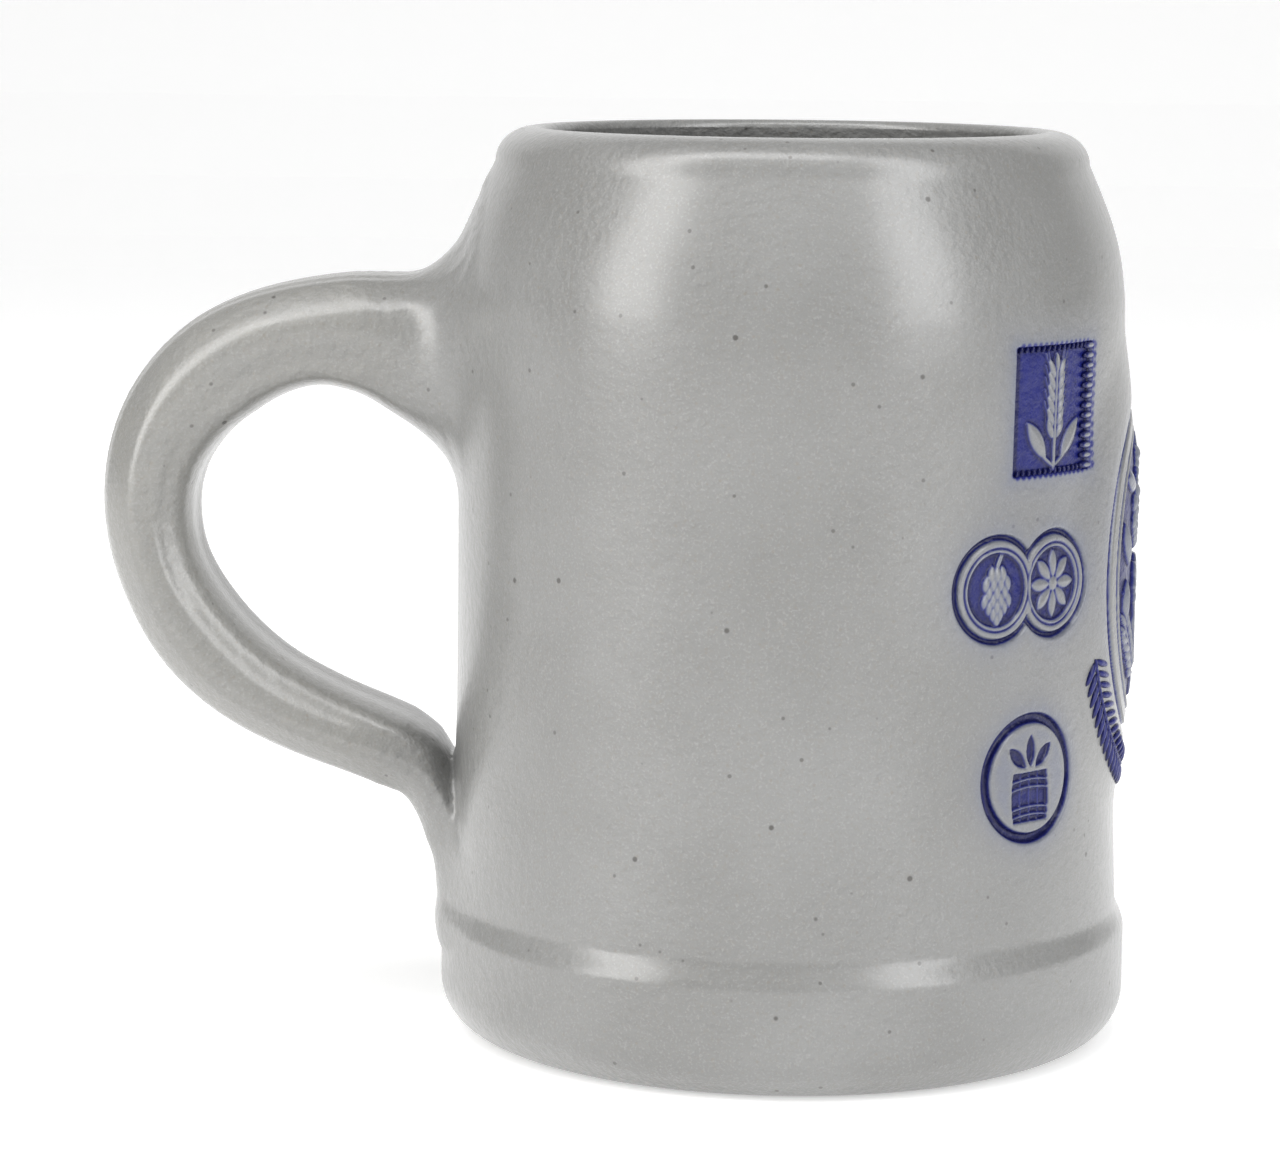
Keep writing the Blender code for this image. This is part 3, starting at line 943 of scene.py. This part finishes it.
def grains(path, closed, pitch, length, width, rise, lean):
    """Flat places and heights (mm), and faces, of the grains sown along a path."""
    count = len(path)
    edges = [(i, i + 1) for i in range(count - 1)] + ([(count - 1, 0)] if closed else [])
    seed = new_object("grain_path", [(x, y, 0.0) for x, y in path], edges=edges)
    made = grow(seed, "grains", grains_on_path,
                {"Pitch": pitch, "Length": length, "Width": width, "Rise": rise,
                 "Lean": math.radians(lean), "Material": body_glaze})
    places = points_of(made) * MM
    faces = [tuple(p.vertices) for p in made.data.polygons]
    bpy.data.objects.remove(made)
    return places, faces


def ring_path(a, b, start=0.0, end=360.0, count=120):
    angles = np.radians(np.linspace(start, end, count, endpoint=end - start < 359.9))
    return [(a * math.cos(t), b * math.sin(t)) for t in angles]


def press(name, lift, cobalt, step, sown=()):
    """Makes one pressed emblem: a relief patch laid on the wall with its grains.

    lift and cobalt take flat places and give heights in mm and brushed-on colour."""
    theta_0, z_0, gap_at = EMBLEMS[name]
    reach = PATCH_MARGIN + 0.2
    span = WIDER_SPANS.get(name, PLAIN_SPAN)
    us = np.arange(-span[0] - reach, span[0] + reach + step / 2, step)
    vs = np.arange(-span[1] - reach, span[1] + reach + step / 2, step)
    u, v = np.meshgrid(us, vs, indexing="ij")
    gap = gap_at(u, v)
    h = soften(lift(u, v, gap), ART_SOFTNESS / step)
    near, wide = (soften(h, reach / step) for reach in POOL_REACH)
    pooled = (near - h) * POOL_STRENGTH[0] + (wide - h) * POOL_STRENGTH[1]
    pooled = np.clip(pooled, *POOL_LIMITS)
    ink = cobalt(u, v, gap) + pooled
    ink = soften(ink, BRUSH_SOFTNESS / step)
    theta = theta_0 + np.degrees(u / TURN_RADIUS)
    ink = np.clip(np.maximum(ink, 0.0) + haze(theta, z_0 + v) * (gap > -0.3), 0.0, 1.0)
    # Painted shade: the ground round the foot of each sown grain is darkened towards deep
    # cobalt.
    for places, _, _ in sown:
        tree = kdtree.KDTree(len(places))
        for i, p in enumerate(places):
            tree.insert((p[0], p[1], 0.0), i)
        tree.balance()
        close = np.argwhere(np.abs(gap) < PATCH_MARGIN)
        lows, highs = places.min(0) - 1, places.max(0) + 1
        for i, j in close:
            if not (lows[0] < us[i] < highs[0] and lows[1] < vs[j] < highs[1]):
                continue
            d = tree.find((us[i], vs[j], 0.0))[2]
            if d < 2 * FOOT_SHADE_REACH:
                ink[i, j] = max(ink[i, j], FOOT_SHADE * math.exp(-((d / FOOT_SHADE_REACH) ** 2)))
    edge = np.maximum(gap - PATCH_MARGIN + FEATHER, 0.0) / FEATHER
    h = h + FACE_LIFT - FEATHER_DROP * edge**2
    keep = gap < PATCH_MARGIN
    cell = keep[:-1, :-1] & keep[1:, :-1] & keep[1:, 1:] & keep[:-1, 1:]
    used = np.zeros(keep.shape, bool)
    for a in (slice(0, -1), slice(1, None)):
        for b in (slice(0, -1), slice(1, None)):
            used[a, b] |= cell
    number = np.full(keep.shape, -1)
    number[used] = np.arange(used.sum())
    count = int(used.sum())
    front = wrap(theta_0, z_0, u[used], v[used], h[used])
    back = wrap(theta_0, z_0, u[used], v[used], h[used] - PATCH_THICKNESS)
    i, j = np.argwhere(cell).T
    quads = np.stack((number[i, j], number[i + 1, j], number[i + 1, j + 1],
                      number[i, j + 1]), 1)
    sides = np.concatenate([np.stack((quads[:, k], quads[:, (k + 1) % 4]), 1)
                            for k in range(4)])
    key = {tuple(e) for e in sides.tolist()}
    rim = [(a, b) for a, b in key if (b, a) not in key]
    rim.sort()
    walls = [(b, a, a + count, b + count) for a, b in rim]
    faces = quads.tolist() + (quads[:, ::-1] + count).tolist() + walls
    verts = [front, back]
    inks = [ink[used], ink[used]]
    total = 2 * count
    for places, loops, tone in sown:
        verts.append(wrap(theta_0, z_0, places[:, 0], places[:, 1], places[:, 2]))
        faces += [tuple(k + total for k in loop) for loop in loops]
        high = places[:, 2].max()
        low_down = 1 - smooth_step(places[:, 2] / max(high, 0.1))
        inks.append(tone + (0.9 - tone) * low_down**1.5)
        total += len(places)
    piece = new_object(name.replace("emblem", "relief"), np.vstack(verts) * MM, faces)
    face_out(piece)
    piece.data.materials.clear()
    piece.data.materials.append(body_glaze)
    paint(piece, np.concatenate(inks))
    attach(piece, "root")
    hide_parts(name)


def wiped(low, height, edge):
    """Share of the brushed colour left on art that rises from a ground to a height."""
    return 1.0 - WIPED_OFF * smooth_step((height - low - 0.06) / edge)


def stamp_lift(u, v, gap):
    ground = -0.62 * mask(box_gap(u, v, 8.3, 8.5, 0.3), 0.3)
    ear = barley_ear(u, v, (0.0, -8.0), 90, 15.2)
    for way in (-1, 1):
        leaf = leaf_dome(u, v, (way * 3.6, -4.0), 90 - way * 38, 6.8, 2.6)
        ear = np.maximum(ear, 0.9 * leaf)
        stem = segment_gap(u, v, (0, -7.6), (way * 2.2, -6.2)) - 0.25
        ear = np.maximum(ear, 0.5 * mask(stem, 0.25))
    return ground + 0.62 * ear * mask(box_gap(u, v, 7.2, 8.3))


def stamp_cobalt(u, v, gap):
    sides = np.maximum(mask(np.abs(u + 7.9) - 0.55, 0.5),
                       mask(np.abs(np.abs(v) - 8.2) - 0.3, 0.5))
    ground = 0.74 * mask(gap + 0.2, 0.5) * wiped(-0.62, stamp_lift(u, v, gap), 0.3)
    return ground + 0.3 * sides * mask(gap, 0.4)


def twin_lift(u, v, gap):
    left, right = np.hypot(u + 5.4, v), np.hypot(u - 5.4, v)
    first = left < right + 1.2
    r = np.where(first, left, right)
    h = -0.8 * mask(np.abs(gap + 0.1) - 0.4, 0.5)
    h = h - 0.3 * mask(np.abs(r - 5.5) - 0.12, 0.28) - 0.5 * mask(r - 4.95, 0.3)
    cone = hop_cone(u, v, (-5.4, -0.3), 2.9)
    star = rosette(u, v, (5.4, 0.0), 4.5)
    art = np.where(first, cone, star)
    return h + 0.48 * art * mask(r - 4.8, 0.25)


def twin_cobalt(u, v, gap):
    left, right = np.hypot(u + 5.4, v), np.hypot(u - 5.4, v)
    field = mask(np.minimum(left, right) - 4.9, 0.3)
    rings = 0.26 + 0.4 * mask(np.abs(np.minimum(left, right) - 5.5) - 0.15, 0.3)
    ground = 0.76 * field * wiped(-0.5, twin_lift(u, v, gap), 0.3)
    return rings * mask(gap, 0.5) * (1 - field) + ground


def oval_lift(u, v, gap):
    h = -0.95 * mask(np.abs(gap + 0.75) - 0.62, 0.6)
    cask, joints = barrel(u, v, (0.0, -2.5), 7.2, 6.6)
    h = h - mask(cask, 0.25) * (0.5 - 0.42 * joints)
    for place, lean in (((0.0, 3.7), 90), ((-2.5, 2.9), 138), ((2.5, 2.9), 42)):
        h = h - 0.5 * np.minimum(leaf_dome(u, v, place, lean, 4.4, 1.9) * 1.6, 1.0)
    return h


def oval_cobalt(u, v, gap):
    inside = mask(gap + 1.2, 0.6)
    low = oval_lift(u, v, gap)
    return 0.26 * inside + 0.5 * smooth_step(-low / 0.45)


long_teeth = grains([(7.8, -8.0), (7.8, 8.0)], False, 1.33, 3.2, 1.0, 0.42, 90.0)
long_teeth[0][:, 2] -= 0.3
ticks = [grains([(-7.4, level), (6.8, level)], False, 1.09, 1.1, 0.5, 0.35, 70.0)
         for level in (-8.2, 8.2)]
for row in ticks:
    row[0][:, 2] -= 0.45
press("emblem_stamp", stamp_lift, stamp_cobalt, 0.14,
      sown=[(*long_teeth, 0.16), (*ticks[0], 0.5), (*ticks[1], 0.5)])
press("emblem_twin", twin_lift, twin_cobalt, 0.14)
press("emblem_oval", oval_lift, oval_cobalt, 0.14)

# ------------------------------------------------------------------ the centre emblem
# A tall oval plaque facing away from the handle's side, in higher relief: a foaming
# tankard under hop cones between two barley ears, inside a grooved border.


def tankard(u, v):
    """Relief of a straight mug with a handle and a head of foam, 0 to 1."""
    x, y = u, v + 7.0
    half = 4.6 - 0.06 * y
    gap = np.maximum(np.abs(x) - half, np.abs(y) - 6.2)
    round_wall = np.sqrt(np.clip(1 - (x / (half + 1.6)) ** 2, 0, 1))
    top = mask(gap, 0.35) * (0.45 + 0.5 * round_wall)
    for off in (-2.9, -1.0, 1.0, 2.9):
        panel = box_gap(x - off, y + 0.3, 0.7, 4.0, 0.6)
        top = top - 0.16 * mask(panel, 0.3) * mask(gap, 0.3)
    loop = np.abs(ellipse_gap(x - 5.2, y - 0.2, 3.0, 3.9)) - 0.65
    loop = np.where(x > half - 0.2, loop, 9.0)
    top = np.maximum(top, 0.62 * mask(loop, 0.4))
    foam = ((-3.6, 6.3, 1.9), (-1.3, 7.0, 2.2), (1.3, 6.7, 2.1), (3.7, 6.2, 1.9),
            (-4.9, 5.0, 1.2), (0.0, 5.9, 1.8), (4.7, 4.4, 1.1), (-4.6, 3.4, 0.9))
    for fx, fy, fr in foam:
        bead = np.clip(1 - ((x - fx) ** 2 + (y - fy) ** 2) / fr**2, 0, 1)
        top = np.maximum(top, (0.62 + 0.42 * np.sqrt(bead)) * (bead > 0))
    return top


def centre_lift(u, v, gap):
    groove = -0.85 * mask(np.abs(gap + 0.1) - 0.5, 0.7)
    line = -0.35 * mask(np.abs(gap + 2.7) - 0.16, 0.35)
    field = -0.5 * mask(gap + 3.6, 0.5)
    inner = mask(gap + 3.9, 0.4)
    art = 0.85 * tankard(u, v)
    for place, size in (((-4.2, 8.4), 3.2), ((4.2, 8.4), 3.2), ((0.0, 13.2), 3.2)):
        art = np.maximum(art, hop_cone(u, v, place, size, 1.15))
    for way in (-1, 1):
        ear = barley_ear(u, v, (way * 2.0, -17.6), 90 - way * 42, 17.0, 0.75)
        art = np.maximum(art, ear)
        for spot, lean in (((8.4, 13.0), 36), ((11.2, 4.5), 75), ((11.6, -3.4), 96)):
            turn = 90 - way * (90 - lean)
            leaf = leaf_dome(u, v, (way * spot[0], spot[1]), turn, 6.4, 2.8)
            art = np.maximum(art, 0.8 * leaf)
    return groove + line + field + art * inner


def centre_cobalt(u, v, gap):
    low = centre_lift(u, v, gap)
    ground = 0.66 * mask(gap + 3.6, 0.5) * wiped(-0.5, low, 0.4)
    lines = 0.72 * mask(np.abs(gap + 0.1) - 0.55, 0.4)
    lines = lines + 0.3 * mask(np.abs(gap + 2.7) - 0.15, 0.35)
    return 0.16 * mask(gap, 0.6) + ground + lines


press("emblem_centre", centre_lift, centre_cobalt, 0.24)

# ------------------------------------------------------------------ the garland
# A leafy garland that follows the lower half of the centre emblem, each leaf a small
# rounded stroke of clay with cobalt run in beside it.

GARLAND_START = 204.0
GARLAND_END = 336.0
GARLAND_INNER = 3.3
GARLAND_OUTER = 6.3
GARLAND_VINE = 4.8
garland_rows = []
for offset, lean in ((GARLAND_INNER, 52.0), (GARLAND_OUTER, 128.0)):
    path = ring_path(CENTRE_HALF[0] + offset, CENTRE_HALF[1] + offset,
                     GARLAND_START, GARLAND_END, 60)
    garland_rows.append(grains(path, False, 1.7, 3.6, 1.0, 0.5, lean))
vine = ring_path(CENTRE_HALF[0] + GARLAND_VINE, CENTRE_HALF[1] + GARLAND_VINE,
                 GARLAND_START - 2, GARLAND_END + 2, 80)
garland_rows.append(grains(vine, False, 0.62, 1.1, 0.5, 0.32, 0.0))
total = 0
verts, faces, inks = [], [], []
theta_0, z_0, _ = EMBLEMS["emblem_centre"]
for places, loops in garland_rows:
    verts.append(wrap(theta_0, z_0, places[:, 0], places[:, 1], places[:, 2]))
    faces += [tuple(k + total for k in loop) for loop in loops]
    high = places[:, 2].max()
    inks.append(0.68 + 0.32 * (1 - smooth_step(places[:, 2] / high)))
    total += len(places)
garland = new_object("relief_garland", np.vstack(verts) * MM, faces)
face_out(garland)
garland.data.materials.clear()
garland.data.materials.append(body_glaze)
paint(garland, np.concatenate(inks))
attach(garland, "root")
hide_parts("emblem_garland")

# ------------------------------------------------------------------ the far emblems
# Three more seals mirror the near ones on the other side of the centre emblem: a shield
# with a sheaf, a beaded round with a rosette and an octagon with a hop cone.


def shield_lift(u, v, gap):
    h = -0.6 * mask(gap + 0.2, 0.35)
    rim = mask(np.abs(gap + 1.2) - 0.35, 0.3)
    art = barley_ear(u, v, (0.0, -6.6), 90, 13.4)
    for way in (-1, 1):
        art = np.maximum(art, barley_ear(u, v, (0.0, -6.2), 90 - way * 30, 11.0))
    tie = box_gap(u, v + 4.4, 1.5, 0.45, 0.3)
    art = np.maximum(art * mask(gap + 1.9), mask(tie, 0.3))
    return h + 0.6 * np.maximum(art, 0.8 * rim)


def shield_cobalt(u, v, gap):
    return 0.64 * mask(gap + 0.1, 0.5) * wiped(-0.6, shield_lift(u, v, gap), 0.3)


def roundel_lift(u, v, gap):
    h = -0.7 * mask(np.abs(gap + 0.3) - 0.4, 0.5) - 0.5 * mask(gap + 3.0, 0.3)
    return h + 0.55 * rosette(u, v, (0.0, 0.0), 5.2) * mask(gap + 3.1)


def roundel_cobalt(u, v, gap):
    field = mask(gap + 3.0, 0.3)
    return 0.14 * mask(gap, 0.5) + 0.55 * field * wiped(-0.5, roundel_lift(u, v, gap), 0.3)


def octagon_lift(u, v, gap):
    h = -0.85 * mask(np.abs(gap + 0.7) - 0.55, 0.5) - 0.45 * mask(gap + 2.4, 0.3)
    art = hop_cone(u, v, (0.0, -0.6), 3.6)
    for way in (-1, 1):
        leaf = leaf_dome(u, v, (way * 3.2, 3.0), 90 - way * 60, 4.4, 2.0)
        art = np.maximum(art, 0.8 * leaf)
    return h + 0.5 * art * mask(gap + 2.5)


def octagon_cobalt(u, v, gap):
    field = mask(gap + 2.4, 0.3)
    ground = 0.55 * field * wiped(-0.45, octagon_lift(u, v, gap), 0.3)
    return 0.14 * mask(gap, 0.5) + ground


beads = grains(ring_path(7.1, 7.1, count=90), True, 1.24, 0.9, 0.9, 0.4, 0.0)
beads[0][:, 2] -= 0.05
press("emblem_shield", shield_lift, shield_cobalt, 0.18)
press("emblem_roundel", roundel_lift, roundel_cobalt, 0.18, sown=[(*beads, 0.16)])
press("emblem_octagon", octagon_lift, octagon_cobalt, 0.18)

# ------------------------------------------------------------------ the studio
# A white table and backdrop, a tall softbox on each side in front, a wide one overhead,
# and a camera a little above the rim looking slightly down.

CAMERA_DISTANCE = 578.3
CAMERA_HEIGHT = 145.9
CAMERA_YAW = 0.0353
CAMERA_PITCH = 0.14464
CAMERA_ROLL = 0.00932
LENS = 117.46

look = Vector((-math.sin(CAMERA_YAW), math.cos(CAMERA_YAW), 0.0))
right = Vector((math.cos(CAMERA_YAW), math.sin(CAMERA_YAW), 0.0))
up = Vector((0.0, 0.0, 1.0))
dip, rise = math.cos(CAMERA_PITCH), math.sin(CAMERA_PITCH)
forward = look * dip - up * rise
above = up * dip + look * rise
side = right * math.cos(CAMERA_ROLL) + above * math.sin(CAMERA_ROLL)
top = above * math.cos(CAMERA_ROLL) - right * math.sin(CAMERA_ROLL)
camera = add_object("camera", bpy.data.cameras.new("camera"))
camera.matrix_world = Matrix.Translation(
    Vector((0.0, -CAMERA_DISTANCE, CAMERA_HEIGHT)) * MM
) @ Matrix((side, top, -forward)).transposed().to_4x4()
camera.data.lens = LENS
camera.data.clip_start, camera.data.clip_end = 0.01, 20.0
bpy.context.scene.camera = camera


def softbox(name, azimuth, distance, middle, width, height, power, tint):
    """An upright area light facing the mug. Azimuth 0 is the camera's side, left
    negative; middle is the height of its centre."""
    a = math.radians(azimuth)
    away = Vector((math.sin(a), -math.cos(a), 0.0))
    lamp = bpy.data.lights.new(name, "AREA")
    lamp.shape, lamp.size, lamp.size_y = "RECTANGLE", width, height
    lamp.energy, lamp.color = power, tint
    made = add_object(name, lamp)
    made.location = away * distance + Vector((0.0, 0.0, middle))
    made.rotation_mode = "QUATERNION"
    made.rotation_quaternion = away.to_track_quat("Z", "Y")
    return made


softbox("left_softbox", -55.0, 1.0, 0.94, 0.42, 1.76, 16.5, (1.0, 0.995, 0.98))
softbox("right_softbox", 46.0, 1.0, 0.94, 0.42, 1.76, 13.8, (0.99, 0.995, 1.0))
overhead = softbox("overhead_softbox", -14.0, 0.42, 1.1, 0.85, 0.4, 6.0, (1.0, 1.0, 1.0))
from_mug = overhead.location - Vector((0, 0, 0.1))
overhead.rotation_quaternion = from_mug.to_track_quat("Z", "Y")

FLOOR_REACH = 3.0
sweep = [(-FLOOR_REACH, 0.0), (1.5, 0.0)]
for k in range(1, 13):
    a = math.radians(90 * k / 12)
    sweep.append((1.5 + math.sin(a), 1.0 - math.cos(a)))
sweep.append((2.5, 3.0))
across = (-FLOOR_REACH, FLOOR_REACH)
floor = new_object("floor", [(x, y, z) for y, z in sweep for x in across],
                   [(2 * k, 2 * k + 1, 2 * k + 3, 2 * k + 2) for k in range(len(sweep) - 1)])
paper = bpy.data.materials.new("white_paper")
paper.use_nodes = True
for key, value in {"Base Color": (0.88, 0.88, 0.88, 1.0), "Roughness": 0.9,
                   "Specular IOR Level": 0.0, "Emission Color": (1.0, 1.0, 1.0, 1.0),
                   "Emission Strength": 0.42}.items():
    paper.node_tree.nodes["Principled BSDF"].inputs[key].default_value = value
floor.data.materials.append(paper)
floor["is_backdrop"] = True

world = bpy.data.worlds.new("white_room")
bpy.context.scene.world = world
world.use_nodes = True
room = world.node_tree.nodes["Background"].inputs
room["Color"].default_value, room["Strength"].default_value = (1.0, 1.0, 1.0, 1.0), 0.22
bpy.context.scene.view_settings.view_transform = "Standard"

low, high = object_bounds()
